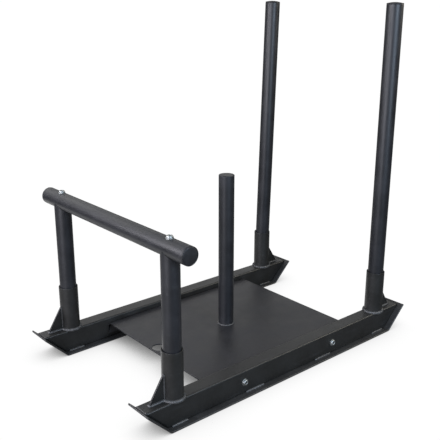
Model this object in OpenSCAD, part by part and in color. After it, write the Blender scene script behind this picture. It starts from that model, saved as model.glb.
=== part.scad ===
// Push and pull weight sled: two skid runners, a deck with a load post, four upright
// sockets, two lift-out push poles and a lift-out low handle. +X is forward, +Y is left.
// The origin is on the floor under the middle of the sled.

/* [Runners] */
// distance between the centre lines of the two runners
track = 520; // [430:1:640]
// length of a runner over both turned-up tips
runner_len = 1018; // [840:2:1240]
// width of the runner's box tube
box_w = 48; // [40:1:60]
// height of the runner's box tube
box_h = 67; // [54:1:82]
// wall thickness of the box tube
box_wall = 3; // [2:0.5:4]
// width of the skid's lip on each side of the box tube
skid_lip = 19; // [8:1:30]
// thickness of the skid plate
skid_t = 5; // [3:0.5:6]
// angle at which each skid tip rises from the floor
skid_rise = 45; // [38:1:52]
// height of a skid's tip above the box tube's top
tip_over = 3; // [0:0.5:8]

/* [Sockets] */
// distance from a runner's tip to the socket near it
socket_inset = 108; // [100:1:180]
// wall thickness of a socket
socket_wall = 2; // [2:0.1:3.5]
// height of a socket above the runner
socket_h = 133; // [100:1:160]
// length of a gusset along the runner
gusset_len = 44; // [25:1:52]
// height of a gusset
gusset_h = 75; // [40:1:90]
// thickness of a gusset
gusset_t = 5; // [3:0.5:8]

/* [Deck] */
// length of the deck plate
deck_len = 566; // [460:2:680]
// thickness of the deck plate
deck_t = 4; // [3:0.5:6]
// drop from the runner's top to the deck's top
deck_drop = 16; // [8:0.5:18]
// depth of the deck's turned-down side flanges below the side bolts
flange_edge = 18; // [10:1:24]
// distance from an end of the deck to the side bolts near it
side_bolt_inset = 105; // [20:1:160]
// radius of the tow hole
tow_r = 21; // [12:0.5:25]
// width of the strip in front of the tow hole
tow_edge = 5; // [4:0.5:20]

/* [Load post] */
// outer diameter of the load post
post_od = 47; // [40:0.5:49]
// wall thickness of the load post
post_wall = 3; // [2:0.5:5]
// height of the load post above the deck
post_h = 477; // [300:1:580]

/* [Poles and handle] */
// outer diameter of the poles and of the handle's tubes
tube_od = 48.3; // [40:0.1:60]
// wall thickness of the poles and of the handle's tubes
tube_wall = 2.5; // [2:0.5:4]
// gap between a pole and its socket, measured on the radius
socket_gap = 1.8; // [0.4:0.1:2]
// share of its play in the socket that the right push pole leans through
lean_share = 1; // [0:0.1:1]
// heading of the right push pole's lean, counted from forward towards left
lean_heading = 139; // [0:1:359]
// length of a push pole without its cap
pole_len = 941; // [700:1:1140]
// height of the handle's bar centre above the runner
bar_rise = 398; // [250:1:480]
// reach of the handle's bar past each upright's centre, without its cap
bar_reach = 75; // [40:1:120]

/* [Hidden] */
runner_top = skid_t + box_h;
runner_y = track / 2;
skid_w = box_w + 2 * skid_lip;
socket_x = runner_len / 2 - socket_inset;
deck_w = track - box_w;
deck_top = runner_top - deck_drop;
bolt_z = skid_t + box_h / 2;
side_bolt_x = deck_len / 2 - side_bolt_inset;
deck_flange = deck_top - bolt_z + flange_edge;
bar_len = track + 2 * bar_reach;
bar_z = runner_top + bar_rise;
tube_r = tube_od / 2;
bore_r = tube_r + socket_gap;
socket_r = bore_r + socket_wall;
rub_gap = 0.3;
lean = atan(2 * lean_share * (socket_gap - rub_gap) / socket_h);
box_corner = 5;
bend_r = 6;
bend_steps = 8;
tip_lift = runner_top + tip_over - skid_t * cos(skid_rise);
tip_x = runner_len / 2 - tip_lift / tan(skid_rise);
bend_back = (bend_r + skid_t) * tan(skid_rise / 2);
bend_x = tip_x - bend_back;
tip_len = tip_lift / sin(skid_rise) - bend_back;
gusset_toe = 6;
flange_bend = 4;
cap_rim_r = tube_r;
cap_rim_h = 3;
cap_dome = 3;
cap_stem = 16;
post_lid = 4;
cope_drop = 4;
bolt_r = 5;
hole_gap = 0.3;
cope_gap = 0.2;
washer_r = 10;
washer_t = 2;
head_r = 8.5;
head_t = 5;
key_r = 3;
key_depth = 2.5;
nut_r = 8.5;
nut_t = 8;
bolt_end = 2;
saddle_t = 3;
lip = 1;
tiny = 0.5;
fine = 96;

module both_sides() {
    children();
    mirror([0, 1, 0]) children();
}

module both_ends() {
    children();
    mirror([1, 0, 0]) children();
}

module tube(r, wall, length) {
    difference() {
        cylinder(r = r, h = length, $fn = fine);
        translate([0, 0, -lip]) cylinder(r = r - wall, h = length + 2 * lip, $fn = fine);
    }
}

// point on a skid's bend: radius r from the bend's centre, turned a degrees up from the sole
function bend_point(r, a) = [bend_x + r * sin(a), bend_r + skid_t - r * cos(a)];

// side profile of the space between a skid's two tips, with a chamfer at each bend
module above_skid() {
    heel = bend_point(bend_r, 0);
    toe = bend_point(bend_r, skid_rise);
    top_x = toe[0] + (runner_top - toe[1]) / tan(skid_rise);
    polygon([[-heel[0], heel[1]], heel, toe, [top_x, runner_top], [-top_x, runner_top],
        [-toe[0], toe[1]]]);
}

// rounded rectangle centred on its own middle
module rounded_section(w, h, r) {
    union() {
        square([w - 2 * r, h], center = true);
        square([w, h - 2 * r], center = true);
        for (sx = [-1, 1], sy = [-1, 1])
            translate([sx * (w / 2 - r), sy * (h / 2 - r)]) circle(r = r, $fn = fine);
    }
}

// round hole through a runner and the deck's flange, along Y
module side_hole(r) {
    for (sx = [-1, 1])
        translate([sx * side_bolt_x, runner_y - box_w, bolt_z])
            rotate([-90, 0, 0]) cylinder(r = r, h = 2 * box_w, $fn = fine);
}

module box_tubes() {
    color("dimgray") both_sides() difference() {
        intersection() {
            translate([-runner_len / 2, runner_y, bolt_z]) rotate([90, 0, 90])
                linear_extrude(height = runner_len) difference() {
                    rounded_section(box_w, box_h, box_corner);
                    rounded_section(box_w - 2 * box_wall, box_h - 2 * box_wall,
                        box_corner - box_wall);
                }
            translate([0, runner_y + box_w, 0]) rotate([90, 0, 0])
                linear_extrude(height = 2 * box_w) above_skid();
        }
        side_hole(bolt_r + hole_gap);
    }
}

// side profile of a skid: a flat sole with a bend up to each tip
module skid_profile() {
    dir = [cos(skid_rise), sin(skid_rise)];
    step = skid_rise / bend_steps;
    outer = [for (i = [0 : bend_steps]) bend_point(bend_r + skid_t, i * step)];
    inner = [for (i = [bend_steps : -1 : 0]) bend_point(bend_r, i * step)];
    tip = [outer[bend_steps] + tip_len * dir, inner[0] + tip_len * dir];
    front = concat(outer, tip, inner);
    rear = [for (i = [len(front) - 1 : -1 : 0]) [-front[i][0], front[i][1]]];
    polygon(concat(front, rear));
}

module skids() {
    color("darkslategray") both_sides()
        translate([0, runner_y + skid_w / 2, 0]) rotate([90, 0, 0])
            linear_extrude(height = skid_w) skid_profile();
}

module gusset() {
    root = bore_r + socket_wall / 2;
    toe = socket_r + gusset_len;
    translate([0, gusset_t / 2, 0]) rotate([90, 0, 0]) linear_extrude(height = gusset_t)
        polygon([[root, 0], [toe, 0], [toe, gusset_toe], [socket_r + tiny, gusset_h],
            [root, gusset_h]]);
}

module sockets() {
    color("slategray") both_sides() both_ends()
        translate([socket_x, runner_y, runner_top]) {
            tube(socket_r, socket_wall, socket_h);
            gusset();
        }
}

module deck() {
    bend = flange_bend + deck_t;
    color("gray") difference() {
        union() {
            translate([-deck_len / 2, -deck_w / 2 + bend, deck_top - deck_t])
                cube([deck_len, deck_w - 2 * bend, deck_t]);
            both_sides() {
                translate([-deck_len / 2, deck_w / 2 - deck_t, deck_top - deck_flange])
                    cube([deck_len, deck_t, deck_flange - bend]);
                translate([-deck_len / 2, deck_w / 2 - bend, deck_top - bend])
                    rotate([90, 0, 90]) linear_extrude(height = deck_len) intersection() {
                        difference() {
                            circle(r = bend, $fn = fine);
                            circle(r = flange_bend, $fn = fine);
                        }
                        square(bend);
                    }
            }
        }
        both_sides() side_hole(bolt_r + hole_gap);
        translate([deck_len / 2 - tow_edge - tow_r, 0, deck_top - deck_t - lip])
            cylinder(r = tow_r, h = deck_t + 2 * lip, $fn = fine);
    }
}

// button head with a hex key recess, flat face down on z = 0, with its washer
module bolt_head() {
    difference() {
        union() {
            cylinder(r = washer_r, h = washer_t, $fn = fine);
            translate([0, 0, washer_t]) intersection() {
                cylinder(r = head_r, h = head_t, $fn = fine);
                translate([0, 0, head_t - head_r * 1.35])
                    sphere(r = head_r * 1.35, $fn = fine);
            }
        }
        translate([0, 0, washer_t + head_t - key_depth])
            cylinder(r = key_r, h = key_depth + lip, $fn = 6);
    }
}

// bolt along Z through a clamped length, head on top at z = 0 and nut under it
module bolt(grip) {
    bolt_head();
    translate([0, 0, -grip - nut_t - bolt_end])
        cylinder(r = bolt_r, h = grip + nut_t + bolt_end + tiny, $fn = fine);
    translate([0, 0, -grip - nut_t]) difference() {
        cylinder(r = nut_r, h = nut_t, $fn = 6);
        translate([0, 0, -lip]) cylinder(r = bolt_r - tiny, h = nut_t + 2 * lip, $fn = fine);
    }
}

module side_bolts() {
    color("silver") both_sides() for (sx = [-1, 1])
        translate([sx * side_bolt_x, runner_y + box_w / 2, bolt_z])
            rotate([-90, 0, 0]) bolt(box_w + deck_t);
}

module load_post() {
    color("slategray") translate([0, 0, deck_top]) {
        tube(post_od / 2, post_wall, post_h);
        translate([0, 0, post_h - post_lid])
            cylinder(r = post_od / 2 - post_wall / 2, h = post_lid, $fn = fine);
    }
}

module pole() {
    translate([-socket_x, runner_y, runner_top]) tube(tube_r, tube_wall, pole_len);
}

module pole_left() {
    color("steelblue") pole();
}

// the right pole and its cap, tilted about the middle of the socket and set back on the runner
module leaned() {
    middle = [-socket_x, -runner_y, runner_top + socket_h / 2];
    translate(middle + [0, 0, tube_r * sin(lean)])
        rotate([0, 0, lean_heading]) rotate([0, lean, 0]) rotate([0, 0, -lean_heading])
        translate(-middle) mirror([0, 1, 0]) children();
}

module pole_right() {
    color("steelblue") leaned() pole();
}

// domed plastic plug: rim on a tube's end at z = 0, stem down inside the tube
module tube_cap() {
    dome_r = (tube_r * tube_r + cap_dome * cap_dome) / (2 * cap_dome);
    translate([0, 0, -cap_stem])
        cylinder(r = tube_r - tube_wall, h = cap_stem + tiny, $fn = fine);
    cylinder(r = cap_rim_r, h = cap_rim_h, $fn = fine);
    translate([0, 0, cap_rim_h - tiny]) intersection() {
        cylinder(r = cap_rim_r, h = cap_dome + tiny, $fn = fine);
        translate([0, 0, tiny + cap_dome - dome_r]) sphere(r = dome_r, $fn = fine);
    }
}

module pole_cap() {
    translate([-socket_x, runner_y, runner_top + pole_len]) tube_cap();
}

module pole_cap_left() {
    color("black") pole_cap();
}

module pole_cap_right() {
    color("black") leaned() pole_cap();
}

module handle_bar() {
    color("steelblue") difference() {
        translate([socket_x, bar_len / 2, bar_z]) rotate([90, 0, 0])
            tube(tube_r, tube_wall, bar_len);
        both_sides() translate([socket_x, runner_y, bar_z - tube_od])
            cylinder(r = bolt_r + hole_gap, h = 2 * tube_od, $fn = fine);
    }
}

module handle_uprights() {
    color("steelblue") difference() {
        both_sides() translate([socket_x, runner_y, runner_top])
            tube(tube_r, tube_wall, bar_rise - cope_drop);
        translate([socket_x, bar_len / 2, bar_z]) rotate([90, 0, 0])
            cylinder(r = tube_r + cope_gap, h = bar_len, $fn = fine);
    }
}

module handle_caps() {
    color("black") both_sides() translate([socket_x, bar_len / 2, bar_z])
        rotate([-90, 0, 0]) tube_cap();
}

module handle_bolts() {
    color("silver") both_sides() translate([socket_x, runner_y, bar_z + tube_r]) {
        bolt(tube_od);
        difference() {
            translate([0, 0, -saddle_t])
                cylinder(r = washer_r, h = saddle_t + tiny, $fn = fine);
            translate([0, washer_r + lip, -tube_r]) rotate([90, 0, 0])
                cylinder(r = tube_r + cope_gap, h = 2 * (washer_r + lip), $fn = fine);
        }
    }
}

box_tubes();
skids();
sockets();
deck();
side_bolts();
load_post();
pole_left();
pole_right();
pole_cap_left();
pole_cap_right();
handle_bar();
handle_uprights();
handle_caps();
handle_bolts();
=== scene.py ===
"""A push and pull weight sled in satin black powder-coated steel, standing on a pale floor."""
import math

import bpy
import numpy as np
from mathutils import Matrix, Vector


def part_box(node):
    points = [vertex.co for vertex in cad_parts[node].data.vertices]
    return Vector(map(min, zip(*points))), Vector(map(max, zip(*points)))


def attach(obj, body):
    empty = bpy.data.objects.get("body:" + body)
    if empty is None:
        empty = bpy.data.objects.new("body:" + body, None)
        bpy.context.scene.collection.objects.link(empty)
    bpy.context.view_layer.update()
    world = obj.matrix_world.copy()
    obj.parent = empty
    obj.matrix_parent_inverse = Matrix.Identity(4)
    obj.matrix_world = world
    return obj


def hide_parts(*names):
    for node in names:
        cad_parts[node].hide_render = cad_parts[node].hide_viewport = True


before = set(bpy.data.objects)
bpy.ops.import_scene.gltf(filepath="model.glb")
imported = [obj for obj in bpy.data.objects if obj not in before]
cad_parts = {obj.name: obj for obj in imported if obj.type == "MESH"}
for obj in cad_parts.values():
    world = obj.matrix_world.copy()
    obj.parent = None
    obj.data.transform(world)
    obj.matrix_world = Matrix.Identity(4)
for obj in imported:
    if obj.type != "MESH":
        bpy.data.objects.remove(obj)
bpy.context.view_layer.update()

MM = 0.001

# ---------------------------------------------------------------- sizes and places

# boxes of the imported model's nodes
BOX_LOW, BOX_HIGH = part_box("box_tubes")
SKID_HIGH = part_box("skids")[1]
SOCKET_LOW, SOCKET_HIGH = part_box("sockets")
DECK_LOW, DECK_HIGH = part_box("deck")
POST_LOW, POST_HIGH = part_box("load_post")
BAR_LOW, BAR_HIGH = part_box("handle_bar")
UPRIGHT_LOW, UPRIGHT_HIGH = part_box("handle_uprights")
SIDE_BOLT_LOW, SIDE_BOLT_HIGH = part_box("side_bolts")

# sizes that the boxes don't give
TUBE_WALL = 2.5 * MM
SOCKET_WALL = 2 * MM
POST_WALL = 3 * MM
BOX_WALL = 3 * MM
BOX_CORNER = 5 * MM
SKID_RISE = math.radians(45)
BEND_R = 6 * MM
GUSSET_T = 5 * MM
GUSSET_TOE = 6 * MM
GUSSET_H = 75 * MM
GUSSET_ROUND = 1.5 * MM
DECK_T = 4 * MM
DECK_BEND = 4 * MM
TOW_R = 21 * MM
TOW_EDGE = 5 * MM
COPE_EAR = 4 * MM
COPE_GAP = 0.2 * MM

WASHER_R = 10 * MM
WASHER_WALL = 4.5 * MM
WASHER_T = 2 * MM
SADDLE_T = 3 * MM
HEAD_R = 8.5 * MM
HEAD_T = 5 * MM
HEAD_RIM = 0.8 * MM
HEAD_FLAT_R = 4.6 * MM
KEY_R = 4 * MM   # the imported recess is 3 mm, too small to show
KEY_FLOOR = 2.6 * MM
# the hex plates of painted shade at the bottom of the key recesses
KEY_SHADE_R = 4.2 * MM
KEY_SHADE_T = 1.2 * MM
NUT_R = 8.5 * MM
NUT_T = 8 * MM
THREAD_R = 5 * MM
THREAD_END = 2 * MM
CORE_R = 1 * MM

CAP_RIM = 3 * MM
CAP_DOME = 2.8 * MM
BAR_CAP_DOME = 0.9 * MM
CAP_STEM = 16 * MM
CAP_GAP = 0.1 * MM
CAP_ROUND = 0.9 * MM
CAP_GROOVE = 0.5 * MM

# sizes and places worked out from those
TUBE_R = (BAR_HIGH.z - BAR_LOW.z) / 2
BAR_X = (BAR_LOW.x + BAR_HIGH.x) / 2
BAR_Z = (BAR_LOW.z + BAR_HIGH.z) / 2
SOCKET_X = BAR_X
RUNNER_Y = UPRIGHT_HIGH.y - TUBE_R
RUNNER_TOP = BOX_HIGH.z
SOCKET_R = SOCKET_HIGH.y - RUNNER_Y
POST_R = (POST_HIGH.x - POST_LOW.x) / 2
BOX_W = 2 * (BOX_HIGH.y - RUNNER_Y)
SKID_T = BOX_LOW.z
BOLT_X = SIDE_BOLT_HIGH.x - WASHER_R
BOLT_Z = (SIDE_BOLT_LOW.z + SIDE_BOLT_HIGH.z) / 2

# small roundings that catch the light; a skid's tip is rounder than its lip, so that the outline
# drawn in by the lip's rounding doesn't cross itself
PLATE_EDGE = 0.8 * MM
LIP_EDGE = 1.7 * MM
SKID_TIP = LIP_EDGE + 0.3 * MM
TUBE_EDGE = 0.5 * MM
CAPPED_EDGE = 0.9 * MM
SHARP = 0.02 * MM
HOLD = 0.5 * MM

# where the deck's flat plate meets the bent edges, in from its sides
DECK_SEAM = 12 * MM

# weld beads: the length of a ripple, the rows of points along one, and each bead's radius. They
# are a little larger than such a tube's fillets usually are, so that they show
RIPPLE = 2.6 * MM
RIPPLE_ROWS = 5
FOOT_BEAD = 4.8 * MM
GUSSET_BEAD = 3.8 * MM
GUSSET_SIDE_BEAD = 2 * MM
SKID_BEAD = 3.2 * MM
POST_BEAD = 2.6 * MM
SKID_STITCHES = ((104 * MM, 172 * MM), (372 * MM, 424 * MM))

# ---------------------------------------------------------------- surfaces


def unit(v):
    """Each row of v, scaled to length one."""
    return v / np.linalg.norm(v, axis=-1, keepdims=True)


def soften(corners, radius, steps=5, hold=HOLD):
    """A closed outline with every corner made an arc. The arc starts radius times the tangent of
    half the turn before the corner and is swept round its centre in equal steps. One more point a
    little along each edge keeps the flats flat when they are shaded."""
    corners = np.asarray(corners, float)
    into = unit(corners - np.roll(corners, 1, 0))
    away = unit(np.roll(corners, -1, 0) - corners)
    turn = np.arctan2(into[:, 0] * away[:, 1] - into[:, 1] * away[:, 0], (into * away).sum(1))
    radius = np.broadcast_to(np.asarray(radius, float), turn.shape)
    cut = (radius * np.tan(np.abs(turn) / 2))[:, None]
    start = corners - into * cut
    inward = np.sign(turn)[:, None] * np.stack([-into[:, 1], into[:, 0]], 1)
    centre = start + inward * radius[:, None]
    arm = (start - centre)[:, None]
    angle = turn[:, None] * np.linspace(0, 1, steps + 1)
    swung = np.stack([arm[..., 0] * np.cos(angle) - arm[..., 1] * np.sin(angle),
                      arm[..., 0] * np.sin(angle) + arm[..., 1] * np.cos(angle)], -1)
    before = (start - into * hold)[:, None]
    after = (corners + away * (cut + hold))[:, None]
    return np.concatenate([before, centre[:, None] + swung, after], 1).reshape(-1, 2)


def quads(rows, cols, round_rows=False, round_cols=True):
    """Faces of a grid of points, with the last row or column joined to the first where asked."""
    r = np.arange(rows if round_rows else rows - 1)
    c = np.arange(cols if round_cols else cols - 1)
    r, c = (a.ravel() for a in np.meshgrid(r, c, indexing="ij"))
    r2, c2 = (r + 1) % rows, (c + 1) % cols
    return np.stack([r * cols + c, r * cols + c2, r2 * cols + c2, r2 * cols + c], 1)


def ring_shell(grid, loop=False):
    """A closed shell from rows of rings. The rows wrap round, or the two end rings get flat lids."""
    rows, cols = grid.shape[:2]
    lids = [] if loop else [np.arange(cols), np.arange(cols)[::-1] + (rows - 1) * cols]
    return grid.reshape(-1, 3), quads(rows, cols, round_rows=loop), lids


def lathe(profile, around=96, loop=True):
    """Turns a profile of radius and height round Z: x and y are the radius times the cosine and
    sine of the angle."""
    profile = np.asarray(profile, float)
    angle = np.linspace(0, 2 * np.pi, around, endpoint=False)
    radius, height = profile[:, 0, None], profile[:, 1, None]
    grid = np.stack([radius * np.cos(angle), radius * np.sin(angle),
                     height + 0 * angle], -1)
    return ring_shell(grid, loop)


def prism(outline, depth, edge, steps=3):
    """An outline carried along Z for a depth. Near both ends it is drawn in along its own normals
    by a quarter circle of the edge's radius."""
    outline = np.asarray(outline, float)
    side = unit(np.roll(outline, -1, 0) - outline)
    before, after = np.roll(side, 1, 0), side
    mean = unit(before + after)
    reach = 1 / np.clip((mean * after).sum(1, keepdims=True), 0.5, 1)
    normal = np.stack([mean[:, 1], -mean[:, 0]], 1) * reach
    swing = np.linspace(0, np.pi / 2, steps + 1)
    inset = np.append(edge * (1 - np.sin(swing)), 0)
    rise = np.append(edge * (1 - np.cos(swing)), edge + HOLD)
    inset = np.concatenate([inset, inset[::-1]])[:, None, None]
    rise = np.concatenate([rise, depth - rise[::-1]])
    flat = outline[None] - normal[None] * inset
    grid = np.concatenate([flat, np.broadcast_to(rise[:, None, None], flat[..., :1].shape)], -1)
    return ring_shell(grid)


def placed(shell, at, x=(1, 0, 0), y=(0, 1, 0), z=(0, 0, 1)):
    """A shell with its own X, Y and Z laid along three directions and its origin at a point."""
    points, faces, lids = shell
    return points @ np.array([x, y, z], float) + np.array(at, float), faces, lids


def both_sides(shells):
    """The shells and their mirror images across the sled's middle plane."""
    return shells + [(p * (1, -1, 1), f, l) for p, f, l in shells]


def both_ends(shells):
    """The shells and their mirror images from front to rear."""
    return shells + [(p * (-1, 1, 1), f, l) for p, f, l in shells]


def volume(points, faces, lids):
    """Six times the volume inside a closed shell: the sum of the triple products of its triangles."""
    fans = [faces[:, [0, 1, 2]], faces[:, [0, 2, 3]]]
    fans += [np.stack([np.full(len(d) - 2, d[0]), d[1:-1], d[2:]], 1) for d in lids]
    a, b, c = (points[np.concatenate(fans)[:, k]] for k in range(3))
    return (a * np.cross(b, c)).sum()


def make_piece(name, shells, body, material, node=None):
    """One mesh from closed shells, each turned so that its faces point outwards."""
    points, faces, flat, first = [], [], [], 0
    for p, f, lids in shells:
        if volume(p - p.mean(0), f, lids) < 0:
            f, lids = f[:, ::-1], [d[::-1] for d in lids]
        points.append(p)
        faces += (f + first).tolist() + [(d + first).tolist() for d in lids]
        flat += [False] * len(f) + [True] * len(lids)
        first += len(p)
    mesh = bpy.data.meshes.new(name)
    mesh.from_pydata(np.concatenate(points).tolist(), [], faces)
    mesh.polygons.foreach_set("use_smooth", [not f for f in flat])
    mesh.materials.append(material)
    mesh.update()
    piece = bpy.data.objects.new(name, mesh)
    bpy.context.collection.objects.link(piece)
    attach(piece, body)
    if node:
        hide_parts(node)
    return piece


# ---------------------------------------------------------------- materials

# sizes of the patterns
PEEL_GRAIN = 3 * MM
FILM_MOTTLE = 60 * MM
DUST_GRAIN = 9 * MM
RUB_STREAK = 14 * MM
SCRATCH_GAP = 3 * MM
WORN_PATCH = 70 * MM
TOOL_GRAIN = 1.2 * MM
PLASTIC_CLOUD = 15 * MM
ZINC_CLOUD = 5 * MM
ZINC_SPECK = 1.5 * MM
# the blotches in the painted shade of the key recesses
SHADE_BLOTCH_GRAIN = 2 * MM


def linear(code):
    """Linear RGBA from an sRGB hex code."""
    srgb = np.array([int(code[i:i + 2], 16) for i in (1, 3, 5)]) / 255
    low, high = srgb / 12.92, ((srgb + 0.055) / 1.055) ** 2.4
    return (*np.where(srgb <= 0.04045, low, high).tolist(), 1.0)


def add(tree, kind, settings=None, inputs=None):
    """Adds a node with its settings, and with each input set to a value or linked to a socket."""
    node = tree.nodes.new("ShaderNode" + kind)
    for key, value in (settings or {}).items():
        setattr(node, key, value)
    for key, value in (inputs or {}).items():
        if isinstance(value, bpy.types.NodeSocket):
            tree.links.new(value, node.inputs[key])
        else:
            node.inputs[key].default_value = value
    return node


def new_material(name):
    """An empty material with its tree, its surface shader and its object coordinates."""
    material = bpy.data.materials.new(name)
    material.use_nodes = True
    tree = material.node_tree
    shader = tree.nodes["Principled BSDF"]
    place = add(tree, "TexCoord").outputs["Object"]
    return material, tree, shader, place


def powder_coat(name, tint, light_tint, gloss, scuffs):
    """Black polyester powder, sprayed and baked: a satin skin with a slight orange peel, a soft
    mottle of thicker and thinner film, a little dust, and paler rubbed streaks. The peel's grain
    is about 1.5 mm on the real coat and is drawn at 3 mm so that it shows."""
    material, tree, shader, place = new_material(name)
    drawn = add(tree, "Mapping", inputs={"Vector": place, "Scale": (0.12, 1, 1)}).outputs["Vector"]
    peel = add(tree, "TexNoise", inputs={"Vector": place, "Scale": 1 / PEEL_GRAIN})
    film = add(tree, "TexNoise", inputs={"Vector": place, "Scale": 1 / FILM_MOTTLE, "Detail": 4.0})
    dust = add(tree, "TexNoise", inputs={"Vector": place, "Scale": 1 / DUST_GRAIN, "Detail": 6.0,
                                         "Roughness": 0.7})
    streak = add(tree, "TexNoise", inputs={"Vector": drawn, "Scale": 1 / RUB_STREAK, "Detail": 5.0,
                                           "Roughness": 0.65})
    thin = add(tree, "MapRange", inputs={"Value": film.outputs["Fac"], "From Min": 0.35,
                                         "From Max": 0.70})
    dusty = add(tree, "MapRange", inputs={"Value": dust.outputs["Fac"], "From Min": 0.55,
                                          "From Max": 0.80, "To Max": 0.04})
    rubbed = add(tree, "MapRange", inputs={"Value": streak.outputs["Fac"], "From Min": 0.60,
                                           "From Max": 0.74, "To Max": scuffs})
    mottle = add(tree, "Mix", {"data_type": "RGBA"},
                 {"Factor": thin.outputs["Result"], "A": linear(tint), "B": linear(light_tint)})
    greyed = add(tree, "Mix", {"data_type": "RGBA"},
                 {"Factor": dusty.outputs["Result"], "A": mottle.outputs["Result"],
                  "B": linear("#8a8a88")})
    worn = add(tree, "Mix", {"data_type": "RGBA"},
               {"Factor": rubbed.outputs["Result"], "A": greyed.outputs["Result"],
                "B": linear("#48494a")})
    tree.links.new(worn.outputs["Result"], shader.inputs["Base Color"])
    sheen = add(tree, "MapRange", inputs={"Value": film.outputs["Fac"], "From Min": 0.3,
                                          "From Max": 0.7, "To Min": gloss - 0.05,
                                          "To Max": gloss + 0.06})
    rough = add(tree, "Math", {"operation": "MULTIPLY_ADD"},
                {0: rubbed.outputs["Result"], 1: 0.25, 2: sheen.outputs["Result"]})
    tree.links.new(rough.outputs["Value"], shader.inputs["Roughness"])
    bump = add(tree, "Bump", inputs={"Strength": 0.22, "Distance": 0.25 * MM,
                                     "Height": peel.outputs["Fac"]})
    tree.links.new(bump.outputs["Normal"], shader.inputs["Normal"])
    shader.inputs["IOR"].default_value = 1.5
    return material


def skid_sheen_and_wear_coat():
    """The same powder on the skids, painted paler than the frame's coat: a painted sheen for the
    reflected light that the box tubes keep off the lips. The sole is dragged down to bare steel:
    bright scratches run lengthways under it, where the surface faces down. Real ones lie closer
    than the 3 mm at which they are drawn, so that they show."""
    # the skids' tints are paler than the frame's: a painted sheen on the lips
    material = powder_coat("skid_powder_coat_painted_sheen_worn_sole", "#262626", "#303030", 0.42, 0.25)
    tree = material.node_tree
    shader = tree.nodes["Principled BSDF"]
    place = add(tree, "TexCoord").outputs["Object"]
    scored = add(tree, "Mapping", inputs={"Vector": place, "Scale": (0.02, 1, 1)}).outputs["Vector"]
    dragged = add(tree, "Mapping", inputs={"Vector": place, "Scale": (0.4, 1, 1)}).outputs["Vector"]
    scratches = add(tree, "TexNoise", inputs={"Vector": scored, "Scale": 1 / SCRATCH_GAP,
                                              "Detail": 6.0, "Roughness": 0.75})
    patches = add(tree, "TexNoise", inputs={"Vector": dragged, "Scale": 1 / WORN_PATCH,
                                            "Detail": 4.0, "Roughness": 0.6})
    wear = add(tree, "Math", {"operation": "MULTIPLY_ADD"},
               {0: patches.outputs["Fac"], 1: 0.9, 2: scratches.outputs["Fac"]})
    bare = add(tree, "MapRange", inputs={"Value": wear.outputs["Value"], "From Min": 0.88,
                                         "From Max": 1.06, "To Max": 0.85})
    facing = add(tree, "SeparateXYZ", inputs={0: add(tree, "NewGeometry").outputs["Normal"]})
    under = add(tree, "MapRange", inputs={"Value": facing.outputs["Z"], "From Min": -0.55,
                                          "From Max": -0.95})
    mask = add(tree, "Math", {"operation": "MULTIPLY"},
               {0: under.outputs["Result"], 1: bare.outputs["Result"]}).outputs["Value"]
    coat = shader.inputs["Base Color"].links[0].from_socket
    dull = shader.inputs["Roughness"].links[0].from_socket
    colour = add(tree, "Mix", {"data_type": "RGBA"},
                 {"Factor": mask, "A": coat, "B": linear("#8f8d89")})
    rough = add(tree, "Mix", {"data_type": "FLOAT"}, {"Factor": mask, "A": dull, "B": 0.36})
    tree.links.new(colour.outputs["Result"], shader.inputs["Base Color"])
    tree.links.new(rough.outputs["Result"], shader.inputs["Roughness"])
    tree.links.new(mask, shader.inputs["Metallic"])
    return material


def moulded_plastic():
    """Black polyethylene, injection moulded: a soft sheen with a fine even grain from the tool,
    drawn at 1.2 mm, coarser than it is, so that it shows."""
    material, tree, shader, place = new_material("moulded_black_polyethylene")
    grain = add(tree, "TexNoise", inputs={"Vector": place, "Scale": 1 / TOOL_GRAIN})
    cloud = add(tree, "TexNoise", inputs={"Vector": place, "Scale": 1 / PLASTIC_CLOUD, "Detail": 3.0})
    share = add(tree, "MapRange", inputs={"Value": cloud.outputs["Fac"], "From Min": 0.3,
                                          "From Max": 0.7}).outputs["Result"]
    colour = add(tree, "Mix", {"data_type": "RGBA"},
                 {"Factor": share, "A": linear("#0c0c0e"), "B": linear("#131316")})
    tree.links.new(colour.outputs["Result"], shader.inputs["Base Color"])
    rough = add(tree, "MapRange", inputs={"Value": share, "To Min": 0.48, "To Max": 0.60})
    tree.links.new(rough.outputs["Result"], shader.inputs["Roughness"])
    bump = add(tree, "Bump", inputs={"Strength": 0.3, "Distance": 0.1 * MM,
                                     "Height": grain.outputs["Fac"]})
    tree.links.new(bump.outputs["Normal"], shader.inputs["Normal"])
    shader.inputs["IOR"].default_value = 1.5
    return material


def bright_zinc():
    """Steel with bright zinc plating: nearly white metal, with a slight cloudiness and a few
    darker specks where the plating is thin."""
    material, tree, shader, place = new_material("bright_zinc_plated_steel")
    cloud = add(tree, "TexNoise", inputs={"Vector": place, "Scale": 1 / ZINC_CLOUD, "Detail": 4.0})
    speck = add(tree, "TexNoise", inputs={"Vector": place, "Scale": 1 / ZINC_SPECK, "Detail": 3.0})
    share = add(tree, "MapRange", inputs={"Value": cloud.outputs["Fac"], "From Min": 0.3,
                                          "From Max": 0.7}).outputs["Result"]
    thin = add(tree, "MapRange", inputs={"Value": speck.outputs["Fac"], "From Min": 0.68,
                                         "From Max": 0.78, "To Max": 0.4})
    plated = add(tree, "Mix", {"data_type": "RGBA"},
                 {"Factor": share, "A": linear("#989b99"), "B": linear("#b6b9b7")})
    specked = add(tree, "Mix", {"data_type": "RGBA"},
                  {"Factor": thin.outputs["Result"], "A": plated.outputs["Result"],
                   "B": linear("#8c8a84")})
    tree.links.new(specked.outputs["Result"], shader.inputs["Base Color"])
    rough = add(tree, "MapRange", inputs={"Value": share, "To Min": 0.42, "To Max": 0.54})
    tree.links.new(rough.outputs["Result"], shader.inputs["Roughness"])
    bump = add(tree, "Bump", inputs={"Strength": 0.15, "Distance": 0.1 * MM,
                                     "Height": speck.outputs["Fac"]})
    tree.links.new(bump.outputs["Normal"], shader.inputs["Normal"])
    shader.inputs["Metallic"].default_value = 1.0
    return material


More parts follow.
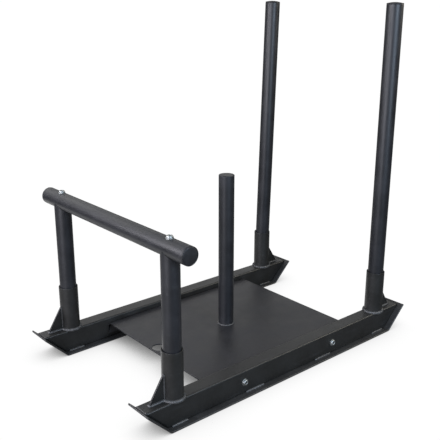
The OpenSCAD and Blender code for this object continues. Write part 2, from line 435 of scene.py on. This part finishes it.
def recess_shade_coat():
    """Steel at the bottom of a recess, painted near black for the shade that falls there: a dull blotchy
    black.
    """
    material, tree, shader, place = new_material("painted_shade_in_key_recesses")
    shade_blotch = add(tree, "TexNoise", inputs={"Vector": place, "Scale": 1 / SHADE_BLOTCH_GRAIN, "Detail": 4.0})
    share = add(tree, "MapRange", inputs={"Value": shade_blotch.outputs["Fac"], "From Min": 0.3,
                                          "From Max": 0.7}).outputs["Result"]
    # the two near-black tones paint the shade in the recess
    colour = add(tree, "Mix", {"data_type": "RGBA"},
                 {"Factor": share, "A": linear("#0c0c0c"), "B": linear("#1e1d1b")})
    tree.links.new(colour.outputs["Result"], shader.inputs["Base Color"])
    rough = add(tree, "MapRange", inputs={"Value": share, "To Min": 0.5, "To Max": 0.7})
    tree.links.new(rough.outputs["Result"], shader.inputs["Roughness"])
    return material


frame_coat = powder_coat("satin_black_powder_coat_frame", "#181817", "#20201f", 0.42, 0.22)
deck_coat = powder_coat("satin_black_powder_coat_deck", "#1a1a1c", "#222225", 0.44, 0.35)
tube_coat = powder_coat("satin_black_powder_coat_tubes", "#17181b", "#1e1f23", 0.42, 0.16)
# the beads are painted paler than the frame: a painted highlight that makes the welds read bright
weld_highlight_coat = powder_coat("powder_coat_over_weld_beads_painted_highlight", "#363636", "#464646", 0.34, 0.10)
skid_sheen_and_worn_sole = skid_sheen_and_wear_coat()
cap_plastic = moulded_plastic()
zinc = bright_zinc()
key_recess_shade = recess_shade_coat()

# ---------------------------------------------------------------- the runners


def skid_corners():
    """Corners of a skid's side outline, counter-clockwise: the sole, then over both tips. The X at
    which the front tip starts to rise comes with them."""
    t = SKID_T
    lift = SKID_HIGH.z - t * math.cos(SKID_RISE)
    foot = SKID_HIGH.x - lift / math.tan(SKID_RISE)
    inner = foot - t * math.tan(SKID_RISE / 2)
    back = SKID_HIGH.x - t * math.sin(SKID_RISE)
    front = [(foot, 0), (SKID_HIGH.x, lift), (back, SKID_HIGH.z), (inner, t)]
    return front + [(-x, z) for x, z in front[::-1]], foot


def skid_shells():
    """The skid's side outline, with rounded bends, carried across its width."""
    corners = skid_corners()[0]
    outer = BEND_R + SKID_T
    side = [outer, SKID_TIP, SKID_TIP, BEND_R]
    radius = side + side[::-1]
    width = 2 * (SKID_HIGH.y - RUNNER_Y)
    shell = prism(soften(corners, radius, steps=8), width, LIP_EDGE)
    return both_sides([placed(shell, (0, SKID_HIGH.y, 0), y=(0, 0, 1), z=(0, -1, 0))])


def box_shells():
    """A rounded rectangle carried along X. Each end stops at the skid's tip: its X is read off the
    tip's inner side at the point's own height. The inner wall comes back the same way."""
    foot = skid_corners()[1]
    back = (BEND_R + SKID_T) * math.tan(SKID_RISE / 2)
    heel = (foot - back, SKID_T)
    toe_z = SKID_T + BEND_R * (1 - math.cos(SKID_RISE))
    toe = (heel[0] + BEND_R * math.sin(SKID_RISE), toe_z)
    top = (toe[0] + (RUNNER_TOP - toe_z) / math.tan(SKID_RISE), RUNNER_TOP)
    half_w, half_h = BOX_W / 2, (RUNNER_TOP - SKID_T) / 2
    rect = np.array([(-1, -1), (1, -1), (1, 1), (-1, 1)]) * (half_w, half_h)
    outer = soften(rect, BOX_CORNER, steps=6)
    inner_rect = rect - np.sign(rect) * BOX_WALL
    core = soften(inner_rect, BOX_CORNER - BOX_WALL, steps=6)
    z_mid = SKID_T + half_h
    share = np.array([-1, -0.98, 0.98, 1])[:, None]

    def rows(section, shares):
        """The section's points at shares of their own reach along X."""
        z = section[:, 1] + z_mid
        reach = np.interp(z, [heel[1], toe[1], top[1]], [heel[0], toe[0], top[0]])
        x = shares * reach
        return np.stack([x, 0 * x + section[:, 0] + RUNNER_Y, 0 * x + z], -1)

    grid = np.concatenate([rows(outer, share), rows(core, share[::-1])])
    return both_sides([ring_shell(grid, loop=True)])


# ---------------------------------------------------------------- sockets, deck and post


def tube_profile(radius, wall, length, edge=TUBE_EDGE):
    """Radius and height round a tube's wall, with its four edges rounded."""
    corners = [(radius - wall, 0), (radius, 0), (radius, length), (radius - wall, length)]
    return soften(corners, edge, steps=4, hold=0.3 * MM)


def socket_shells():
    """A tube on the runner at each corner, and a sloping gusset between it and the runner."""
    height = SOCKET_HIGH.z - SOCKET_LOW.z
    at = (SOCKET_X, RUNNER_Y, SOCKET_LOW.z)
    tube = placed(lathe(tube_profile(SOCKET_R, SOCKET_WALL, height)), at)
    root = SOCKET_R - SOCKET_WALL / 2
    toe = SOCKET_HIGH.x - SOCKET_X
    corners = [(root, 0), (toe, 0), (toe, GUSSET_TOE), (SOCKET_R + HOLD, GUSSET_H),
               (root, GUSSET_H)]
    radius = [SHARP, SHARP, GUSSET_ROUND, GUSSET_ROUND, SHARP]
    plate = prism(soften(corners, radius, hold=SHARP), GUSSET_T, PLATE_EDGE)
    plate = placed(plate, (at[0], at[1] + GUSSET_T / 2, at[2]), y=(0, 0, 1), z=(0, -1, 0))
    return both_sides(both_ends([tube, plate]))


def deck_plate():
    """The flat of the deck as rings round the tow hole. A ring lies on the hole or on the edge of
    the plate, where each point is the place at which a ray from the hole's centre leaves it."""
    half_x, half_y, rays = DECK_HIGH.x, DECK_HIGH.y - DECK_SEAM, 192
    centre = np.array([half_x - TOW_EDGE - TOW_R, 0])
    ends = np.array([(sx * half_x, sy * half_y) for sx in (-1, 1) for sy in (-1, 1)]) - centre
    angle = np.sort(np.append(np.linspace(-np.pi, np.pi, rays, endpoint=False),
                              np.arctan2(ends[:, 1], ends[:, 0])))
    ray = np.stack([np.cos(angle), np.sin(angle)], 1)
    corner = np.array([half_x, half_y])
    walls = np.where(ray > 0, corner - centre, -corner - centre)
    slanted = np.abs(ray) > 1e-9
    away = np.min(np.where(slanted, walls / np.where(slanted, ray, 1), 9.0), 1)
    rim = centre + ray * away[:, None]
    edge = PLATE_EDGE
    swing = np.linspace(0, np.pi / 2, 4)
    inset = np.concatenate([[edge + HOLD], edge * (1 - np.sin(swing))])
    drop = np.concatenate([[0], edge * (1 - np.cos(swing))])
    inset, drop = np.concatenate([inset, inset[::-1]]), np.concatenate([drop, DECK_T - drop[::-1]])

    def on_rim(gap):
        """The rim, with its two ends drawn in by a gap. Its sides join the bent edges."""
        x = np.clip(rim[:, 0], gap - half_x, half_x - gap)
        return np.stack([x, rim[:, 1]], 1)

    rings = [on_rim(g) for g in inset] + [centre + ray * (TOW_R + g) for g in inset[::-1]]
    depth = np.concatenate([drop, drop[::-1]])
    grid = np.stack([np.concatenate([r, np.full((len(r), 1), DECK_HIGH.z - d)], 1)
                     for r, d in zip(rings, depth)])
    return ring_shell(grid, loop=True)


def deck_shells():
    """The flat plate, and along each side an L section bent down to a flange."""
    y, top, low = DECK_HIGH.y, DECK_HIGH.z, DECK_LOW.z
    seam, length = y - DECK_SEAM, DECK_HIGH.x - DECK_LOW.x
    corners = [(seam, top - DECK_T), (y - DECK_T, top - DECK_T), (y - DECK_T, low), (y, low),
               (y, top), (seam, top)]
    radius = [SHARP, DECK_BEND, PLATE_EDGE, PLATE_EDGE, DECK_BEND + DECK_T, SHARP]
    flange = prism(soften(corners, radius, steps=8, hold=0.1 * MM), length, PLATE_EDGE)
    flange = placed(flange, (DECK_LOW.x, 0, 0), x=(0, 1, 0), y=(0, 0, 1), z=(1, 0, 0))
    return [deck_plate()] + both_sides([flange])


def post_shells():
    """A closed tube: the lid is let into the end, with a shallow ring where it meets the wall. The
    outline starts and ends a little off the axis, where flat lids close the shell."""
    height, start_r = POST_HIGH.z - POST_LOW.z, 2 * MM
    lid, groove, groove_edge = POST_R - POST_WALL, 0.5 * MM, 0.2 * MM
    corners = [(start_r, 0), (POST_R, 0), (POST_R, height), (lid + groove, height),
               (lid, height - groove), (lid - groove, height), (start_r, height)]
    bend = [SHARP, TUBE_EDGE, 1.5 * MM, groove_edge, groove_edge, groove_edge, SHARP]
    points = soften(corners, bend, hold=SHARP)
    points = points[points[:, 0] > start_r + 0.1 * MM]
    start = np.argmin(points[:, 1] + (points[:, 0] > start_r + 1 * MM))
    return [placed(lathe(np.roll(points, -start, 0), loop=False), (0, 0, POST_LOW.z))]


# ---------------------------------------------------------------- poles and handle


def pole_line(node):
    """The middles of a pole's two ends, from the tube's lowest and highest rings of points."""
    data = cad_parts[node].data
    points = np.empty(3 * len(data.vertices))
    data.vertices.foreach_get("co", points)
    points = points.reshape(-1, 3)
    z = points[:, 2]
    band = 4 * MM
    low, high = points[z < z.min() + band], points[z > z.max() - band]
    return (low.min(0) + low.max(0)) / 2, (high.min(0) + high.max(0)) / 2


def along(axis):
    """Three directions, the last of them along an axis that is close to upright."""
    z = unit(np.asarray(axis, float))
    x = unit(np.cross((0, 1, 0), z))
    return {"x": x, "y": np.cross(z, x), "z": z}


def cap_profile(dome):
    """Half the outline of a domed plug: a stem in the tube, a rounded rim over the tube's end, a
    fine groove, and a dome whose height falls off with the square of the radius."""
    stem, outer = TUBE_R - TUBE_WALL - CAP_GAP, TUBE_R - CAP_GAP
    chamfer, seat = 1.5 * MM, 0.05 * MM
    middle = outer - CAP_ROUND
    swing = np.linspace(0, np.pi / 2, 6)
    corner = np.stack([middle + CAP_ROUND * np.cos(swing),
                       CAP_RIM - CAP_ROUND + CAP_ROUND * np.sin(swing)], 1)
    base = [(stem - chamfer, -CAP_STEM), (stem, chamfer - CAP_STEM), (stem, -0.3 * MM),
            (stem, seat), (middle, seat), (outer - 0.3 * MM, 0.35 * MM), (outer, 0.95 * MM),
            (outer, CAP_RIM - CAP_ROUND - 0.3 * MM)]
    inner = middle - 1.2 * MM
    ditch = [(inner + 0.6 * MM, CAP_RIM), (inner + 0.3 * MM, CAP_RIM - CAP_GROOVE),
             (inner, CAP_RIM - CAP_GROOVE)]
    radius = (inner - 0.3 * MM) * np.linspace(1, 0.03, 14)
    crown = np.stack([radius, CAP_RIM + dome * (1 - (radius / inner) ** 2)], 1)
    return np.concatenate([base, corner, ditch, crown])


def pole_pieces(side):
    """A push pole and its cap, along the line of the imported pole."""
    low, high = pole_line("pole_" + side)
    way = along(high - low)
    length = np.linalg.norm(high - low)
    tube = placed(lathe(tube_profile(TUBE_R, TUBE_WALL, length, CAPPED_EDGE)), low, **way)
    cap = placed(lathe(cap_profile(CAP_DOME), loop=False), high, **way)
    body = "push_pole_" + side
    make_piece("push_pole_" + side, [tube], body, tube_coat, "pole_" + side)
    make_piece("pole_cap_" + side + "_moulding", [cap], body, cap_plastic,
               "pole_cap_" + side)


def bar_shells():
    """The handle's bar, a tube along Y."""
    tube = lathe(tube_profile(TUBE_R, TUBE_WALL, BAR_HIGH.y - BAR_LOW.y, CAPPED_EDGE))
    return [placed(tube, (BAR_X, BAR_LOW.y, BAR_Z), y=(0, 0, 1), z=(0, 1, 0))]


def bar_cap_shells():
    """The bar's two end plugs."""
    cap = lathe(cap_profile(BAR_CAP_DOME), loop=False)
    return both_sides([placed(cap, (BAR_X, BAR_HIGH.y, BAR_Z), y=(0, 0, 1), z=(0, 1, 0))])


def upright_shells():
    """A tube whose top is cut to lie under the bar: near the top, a point's height is lowered to
    the bar's underside at its own X, the centre height less the root of R squared less X squared."""
    reach = BAR_Z - UPRIGHT_LOW.z
    points, faces, lids = lathe(tube_profile(TUBE_R, TUBE_WALL, reach))
    x, z = points[:, 0], points[:, 2]
    under = reach - np.sqrt(np.clip((TUBE_R + COPE_GAP) ** 2 - x ** 2, 0, None))
    cope = np.minimum(under, reach - COPE_EAR) - (reach - z)
    points[:, 2] = np.where(z > reach / 2, cope, z)
    return both_sides([placed((points, faces, lids), (BAR_X, RUNNER_Y, UPRIGHT_LOW.z))])


# ---------------------------------------------------------------- bolts


def hexagon(radius, rounding, hold):
    """A regular hexagon with rounded corners."""
    spin = np.arange(6) * np.pi / 3
    return soften(np.stack([np.cos(spin), np.sin(spin)], 1) * radius, rounding, hold=hold)


def bolt_head():
    """A button head on a washer, with a six-sided key recess. From rim to top the radius shrinks
    with the power 2.2 of the way up, and the height follows a sine. In the recess a point's radius
    is multiplied by cos 30 over the cosine of its angle from the middle of the nearest flat, and
    that fades out over a little ring round it."""
    slot_r, fade, round_r, near = 4.5 * MM, 0.6 * MM, 0.4 * MM, 1e-6
    t = np.linspace(0, 1, 12)
    bulge = np.stack([HEAD_R - (HEAD_R - HEAD_FLAT_R) * t ** 2.2,
                      HEAD_RIM + (HEAD_T - HEAD_RIM) * np.sin(t * np.pi / 2)], 1)
    foot = [(CORE_R, 0), (HEAD_R - 0.3 * MM, 0), (HEAD_R, 0.3 * MM)]
    recess = [(KEY_R + round_r, HEAD_T), (KEY_R, HEAD_T - round_r), (KEY_R, KEY_FLOOR),
              (CORE_R, KEY_FLOOR)]
    points, faces, lids = lathe(np.concatenate([foot, bulge, recess]), loop=False)
    angle = np.arctan2(points[:, 1], points[:, 0])
    radius = np.hypot(points[:, 0], points[:, 1])
    six = np.cos(np.pi / 6) / np.cos((angle + np.pi / 6) % (np.pi / 3) - np.pi / 6)
    blend = np.clip((radius - KEY_R) / fade, 0, 1)
    inside = (points[:, 2] >= KEY_FLOOR - near) & (radius < slot_r)
    points[:, :2] *= np.where(inside, six + (1 - six) * blend, 1)[:, None]
    points[:, 2] += WASHER_T
    return points, faces, lids


def bolt_shells(grip):
    """A washer, a button head, and a nut and a thread's end at the far side of the grip, all along
    Z with the washer's underside at zero."""
    washer = lathe(tube_profile(WASHER_R, WASHER_WALL, WASHER_T, 0.5 * MM))
    nut = prism(hexagon(NUT_R, 0.5 * MM, 0.1 * MM), NUT_T, 0.8 * MM)
    chamfer = 0.8 * MM
    thread = [(CORE_R, 0), (THREAD_R - chamfer, 0), (THREAD_R, chamfer), (THREAD_R, 5 * MM),
              (CORE_R, 5 * MM)]
    end = lathe(thread, loop=False)
    below = -grip - NUT_T
    return [washer, bolt_head(), placed(nut, (0, 0, below)), placed(end, (0, 0, below - THREAD_END))]


def key_shade_plate():
    """The steel at the bottom of a hex key recess, painted near black as its shade, just proud of the
    recess's floor.
    """
    plate = prism(hexagon(KEY_SHADE_R, 0.2 * MM, 0.05 * MM), KEY_SHADE_T, 0.1 * MM)
    return placed(plate, (0, 0, 4.5 * MM))


def on_sides(shells):
    """Shells along Z, turned to lie at the two bolt places of each runner."""
    at = (BOLT_X, RUNNER_Y + BOX_W / 2, BOLT_Z)
    return both_sides(both_ends([placed(s, at, y=(0, 0, -1), z=(0, 1, 0)) for s in shells]))


def side_bolt_shells():
    """Two bolts through each runner into the deck's flange, heads outside."""
    return on_sides(bolt_shells(BOX_W + DECK_T))


def key_shade_plate_shells():
    """The bottoms of the key recesses in the side bolts and in the bar's bolts, painted dark as their
    shade.
    """
    bar = both_sides([placed(key_shade_plate(), (BAR_X, RUNNER_Y, BAR_Z + TUBE_R))])
    return on_sides([key_shade_plate()]), bar


def bar_bolt_shells():
    """One bolt down through the bar over each upright, on a saddle cut to the bar's round top."""
    top = BAR_Z + TUBE_R
    bolts = [placed(s, (BAR_X, RUNNER_Y, top)) for s in bolt_shells(2 * TUBE_R)]
    saddle, faces, lids = lathe(tube_profile(WASHER_R, WASHER_WALL, SADDLE_T, 0.4 * MM))
    drop = TUBE_R - np.sqrt(TUBE_R ** 2 - saddle[:, 0] ** 2)
    lower = saddle[:, 2] < SADDLE_T / 2
    saddle[:, 2] -= np.where(lower, drop, SADDLE_T - 0.1 * MM)
    return both_sides(bolts + [placed((saddle, faces, lids), (BAR_X, RUNNER_Y, top))])


# ---------------------------------------------------------------- weld beads


def bead(path, up, radius, loop=False):
    """A weld bead: a small circle carried along a path. Its radius swells and dips along the way
    as 1 less the square of the place within each ripple, the ripple leans back round the circle
    like a row of crescents, and the two ends run out to a point. A slow sine makes it waver."""
    around, lean, swelling, waver, waver_rate = 12, 0.22, 0.16, 0.05, 410
    step = np.gradient(path, axis=0) if not loop else np.roll(path, -1, 0) - np.roll(path, 1, 0)
    forward = unit(step)
    up = np.broadcast_to(np.asarray(up, float), forward.shape)
    side = unit(np.cross(forward, up))
    gap = np.linalg.norm(np.diff(path, axis=0), axis=1)
    run = np.append(0, np.cumsum(gap))
    whole = run[-1] + (gap.mean() if loop else 0)
    count = max(round(whole / RIPPLE), 1)
    angle = np.linspace(0, 2 * np.pi, around, endpoint=False)
    place = (run[:, None] / whole * count + lean * np.cos(2 * angle)) % 1
    crescent = 1 - (2 * place - 1) ** 2
    swell = 1 + swelling * crescent + waver * np.sin(run[:, None] * waver_rate)
    taper = 1 if loop else (1 - np.abs(2 * run[:, None] / whole - 1) ** 12) ** 0.5 + 0.05
    r = radius * swell * taper
    grid = path[:, None] + r[..., None] * (side[:, None] * np.cos(angle)[None, :, None]
                                           + up[:, None] * np.sin(angle)[None, :, None])
    return ring_shell(grid, loop)


def straight_bead(start, end, up, radius):
    """A bead from one point to another."""
    start, end = np.asarray(start, float), np.asarray(end, float)
    rows = max(int(np.linalg.norm(end - start) / RIPPLE * RIPPLE_ROWS), 12)
    return bead(start + (end - start) * np.linspace(0, 1, rows)[:, None], up, radius)


def ring_bead(centre, ring, radius):
    """A bead round a tube's foot."""
    rows = int(2 * np.pi * ring / RIPPLE * RIPPLE_ROWS)
    angle = np.linspace(0, 2 * np.pi, rows, endpoint=False)
    path = np.stack([ring * np.cos(angle), ring * np.sin(angle), 0 * angle], 1) + np.array(centre)
    return bead(path, (0, 0, 1), radius, loop=True)


def socket_beads():
    """Round each socket's foot, across each gusset's toe, and along its foot and up its inner edge
    on both sides."""
    foot, side, toe = RUNNER_TOP, GUSSET_T / 2, SOCKET_HIGH.x
    root, past, short = SOCKET_X + SOCKET_R, 3 * MM, 1 * MM
    rise = root - 0.2 * MM
    shells = [ring_bead((SOCKET_X, RUNNER_Y, foot), SOCKET_R + 0.4 * MM, FOOT_BEAD),
              straight_bead((toe, RUNNER_Y - side - past, foot),
                            (toe, RUNNER_Y + side + past, foot), (0, 0, 1), GUSSET_BEAD)]
    for edge in (RUNNER_Y - side, RUNNER_Y + side):
        shells.append(straight_bead((root, edge, foot), (toe - short, edge, foot), (0, 0, 1),
                                    GUSSET_BEAD))
        shells.append(straight_bead((rise, edge, foot + 4 * MM), (rise, edge, foot + GUSSET_H - past),
                                    (1, 0, 0), GUSSET_SIDE_BEAD))
    return both_sides(both_ends(shells))


def skid_beads():
    """Short stitches between each runner's box tube and the skid's lips."""
    shells = []
    for y in (RUNNER_Y - BOX_W / 2, RUNNER_Y + BOX_W / 2):
        for start, end in SKID_STITCHES:
            shells.append(straight_bead((start, y, SKID_T), (end, y, SKID_T), (0, 0, 1), SKID_BEAD))
    return both_sides(both_ends(shells))


def build_sled():
    """Every piece, on its body."""
    make_piece("runner_boxes", box_shells(), "sled", frame_coat, "box_tubes")
    make_piece("runner_skids", skid_shells(), "sled", skid_sheen_and_worn_sole, "skids")
    make_piece("sockets_and_gussets", socket_shells(), "sled", frame_coat, "sockets")
    make_piece("deck_plate", deck_shells(), "sled", deck_coat, "deck")
    make_piece("plate_post", post_shells(), "sled", tube_coat, "load_post")
    make_piece("side_bolt_set", side_bolt_shells(), "sled", zinc, "side_bolts")
    # the painted shade in the bolts' key recesses
    side_key_shades, bar_key_shades = key_shade_plate_shells()
    make_piece("side_bolt_key_shade_plates", side_key_shades, "sled", key_recess_shade)
    make_piece("bar_bolt_key_shade_plates", bar_key_shades, "low_handle", key_recess_shade)
    make_piece("socket_welds", socket_beads(), "sled", weld_highlight_coat)
    make_piece("skid_welds", skid_beads(), "sled", weld_highlight_coat)
    post_bead = ring_bead((0, 0, DECK_HIGH.z), POST_R + 0.4 * MM, POST_BEAD)
    make_piece("post_weld", [post_bead], "sled", weld_highlight_coat)
    for side in ("left", "right"):
        pole_pieces(side)
    make_piece("handle_cross_bar", bar_shells(), "low_handle", tube_coat, "handle_bar")
    make_piece("handle_legs", upright_shells(), "low_handle", tube_coat, "handle_uprights")
    make_piece("bar_end_caps", bar_cap_shells(), "low_handle", cap_plastic, "handle_caps")
    make_piece("bar_bolt_set", bar_bolt_shells(), "low_handle", zinc, "handle_bolts")


# ---------------------------------------------------------------- floor, light and camera

IMAGE_PX = 440
SENSOR_MM = 36.0
FOCAL_PX = 705.07
CAMERA_AT = Vector((1.3230, 1.5229, 1.0329))
CAMERA_YAW = -2.2766
CAMERA_PITCH = 0.3072
CAMERA_ROLL = 0.0022
LOOK_AT = Vector((0, 0, 0.35))
LAMP_AWAY = 2.4
LAMP_WIDTH = 1.1
LAMP_HEIGHT = 1.2
FLOOR_REACH = 60.0

FLOOR_LIGHT = 1.02
SHADE_REACH = 0.3
SHADE_FALL = 1.9
TO_BACK = (math.cos(CAMERA_YAW), math.sin(CAMERA_YAW), 0)
TO_LEFT = (-math.sin(CAMERA_YAW), math.cos(CAMERA_YAW), 0)
# the room's brightness to the right and to the left of the sled, and beside it and behind it
LEFT_SHARE = {"To Min": 0.55, "To Max": 1.5}
BACK_SHARE = {"To Min": 1.0, "To Max": 2.6}
# the room's grey level against height, from 0 straight down to 1 straight up
ROOM_LIGHT = [(0.10, 0.20), (0.16, 0.42), (0.28, 0.42), (0.35, 0.03), (0.58, 0.02), (0.62, 0.40),
              (0.73, 0.40), (0.78, 0.06), (0.90, 0.18)]


def make_camera():
    """A camera at its place, looking along its yaw and pitch, turned by its roll."""
    look = Vector((math.cos(CAMERA_YAW) * math.cos(CAMERA_PITCH),
                   math.sin(CAMERA_YAW) * math.cos(CAMERA_PITCH),
                   -math.sin(CAMERA_PITCH)))
    right = look.cross(Vector((0, 0, 1))).normalized()
    up = right.cross(look)
    turned_right = right * math.cos(CAMERA_ROLL) + up * math.sin(CAMERA_ROLL)
    turned_up = up * math.cos(CAMERA_ROLL) - right * math.sin(CAMERA_ROLL)
    turn = Matrix((turned_right, turned_up, -look)).transposed()
    data = bpy.data.cameras.new("camera")
    data.sensor_width = SENSOR_MM
    data.lens = FOCAL_PX / IMAGE_PX * SENSOR_MM
    camera = bpy.data.objects.new("camera", data)
    camera.matrix_world = Matrix.Translation(CAMERA_AT) @ turn.to_4x4()
    bpy.context.collection.objects.link(camera)
    bpy.context.scene.camera = camera


def softbox(name, azimuth, elevation, power, tint):
    """A rectangular lamp that faces the sled, at an azimuth counted from the camera's side."""
    a = math.atan2(CAMERA_AT.y, CAMERA_AT.x) + math.radians(azimuth)
    e = math.radians(elevation)
    way = Vector((math.cos(a) * math.cos(e), math.sin(a) * math.cos(e), math.sin(e)))
    data = bpy.data.lights.new(name, "AREA")
    data.shape = "RECTANGLE"
    data.size = LAMP_WIDTH
    data.size_y = LAMP_HEIGHT
    data.energy = power
    data.color = linear(tint)[:3]
    lamp = bpy.data.objects.new(name, data)
    lamp.location = LOOK_AT + way * LAMP_AWAY
    lamp.rotation_euler = way.to_track_quat("Z", "Y").to_euler()
    bpy.context.collection.objects.link(lamp)


def make_floor():
    """A white floor, evenly lit, with a soft neutral shadow under and beside the sled: its light
    is FLOOR_LIGHT times 1 less the power SHADE_FALL of the share of the sky hidden within
    SHADE_REACH. The sled doesn't mirror it."""
    mesh = bpy.data.meshes.new("floor")
    r = FLOOR_REACH
    mesh.from_pydata([(-r, -r, 0), (r, -r, 0), (r, r, 0), (-r, r, 0)], [], [(0, 1, 2, 3)])
    material = bpy.data.materials.new("pale_studio_floor")
    material.use_nodes = True
    material.cycles.emission_sampling = "NONE"
    tree = material.node_tree
    open_sky = add(tree, "AmbientOcclusion", {"samples": 16}, {"Distance": SHADE_REACH}).outputs["AO"]
    hidden = add(tree, "Math", {"operation": "SUBTRACT"}, {0: 1.0, 1: open_sky}).outputs["Value"]
    shade = add(tree, "Math", {"operation": "POWER"}, {0: hidden, 1: SHADE_FALL}).outputs["Value"]
    light = add(tree, "MapRange", inputs={"Value": shade, "To Min": FLOOR_LIGHT, "To Max": 0.0})
    glow = add(tree, "Emission", inputs={"Color": linear("#ffffff"), "Strength": light.outputs["Result"]})
    tree.links.new(glow.outputs["Emission"], tree.nodes["Material Output"].inputs["Surface"])
    mesh.materials.append(material)
    floor = bpy.data.objects.new("floor", mesh)
    floor.visible_glossy = floor.visible_diffuse = False
    bpy.context.collection.objects.link(floor)


def make_room():
    """A white room as the camera sees it. What the sled mirrors goes by height: a lit floor, a
    dark band at eye level, a pale wall above it and a dim ceiling, brighter to the left of the
    sled and brightest behind it."""
    world = bpy.data.worlds.new("studio")
    bpy.context.scene.world = world
    world.use_nodes = True
    tree = world.node_tree
    way = add(tree, "TexCoord").outputs["Generated"]
    height = add(tree, "SeparateXYZ", inputs={0: way})
    lifted = add(tree, "MapRange", inputs={"Value": height.outputs["Z"], "From Min": -1.0})
    bands = add(tree, "ValToRGB", inputs={"Fac": lifted.outputs["Result"]})
    while len(bands.color_ramp.elements) < len(ROOM_LIGHT):
        bands.color_ramp.elements.new(0.5)
    for stop, (position, grey) in zip(bands.color_ramp.elements, ROOM_LIGHT):
        stop.position = position
        stop.color = (grey, grey, grey, 1)
    leftness = add(tree, "VectorMath", {"operation": "DOT_PRODUCT"}, {0: way, 1: TO_LEFT})
    left = add(tree, "MapRange", inputs={"Value": leftness.outputs["Value"], "From Min": -0.6,
                                         "From Max": 0.6, **LEFT_SHARE})
    farness = add(tree, "VectorMath", {"operation": "DOT_PRODUCT"}, {0: way, 1: TO_BACK})
    back = add(tree, "MapRange", inputs={"Value": farness.outputs["Value"], "From Min": 0.3,
                                         "From Max": 0.8, **BACK_SHARE})
    sides = add(tree, "Math", {"operation": "MULTIPLY"},
                {0: left.outputs["Result"], 1: back.outputs["Result"]})
    lit = add(tree, "Math", {"operation": "MULTIPLY"},
              {0: bands.outputs["Color"], 1: sides.outputs["Value"]})
    seen = add(tree, "LightPath").outputs["Is Camera Ray"]
    shown = add(tree, "Mix", {"data_type": "RGBA"}, {"Factor": seen, "A": lit.outputs["Value"],
                                                     "B": (FLOOR_LIGHT, FLOOR_LIGHT, FLOOR_LIGHT, 1)})
    tree.links.new(shown.outputs["Result"], tree.nodes["Background"].inputs["Color"])


def make_studio():
    """The floor, the room and seven soft lamps: a key a little left of the camera in two parts, one
    lamp on the left, three on the right, and a weak one far to the left and behind. The numbers are
    azimuth and elevation in degrees and power in watts."""
    make_floor()
    make_room()
    softbox("key_low", -34, 8, 36, "#f4f4ff")
    softbox("key_high", -25, 38, 15, "#dcecff")
    softbox("left_side", -72, 24, 40, "#f8f6ff")
    softbox("right_high", 50, 38, 10, "#dce8ff")
    softbox("right_low", 36, 18, 38, "#d4e8ff")
    softbox("right_side", 100, 32, 20, "#fff8e8")
    softbox("far_left", -120, 38, 5, "#ffffff")


bpy.context.scene.view_settings.view_transform = "Standard"
make_camera()
make_studio()
build_sled()
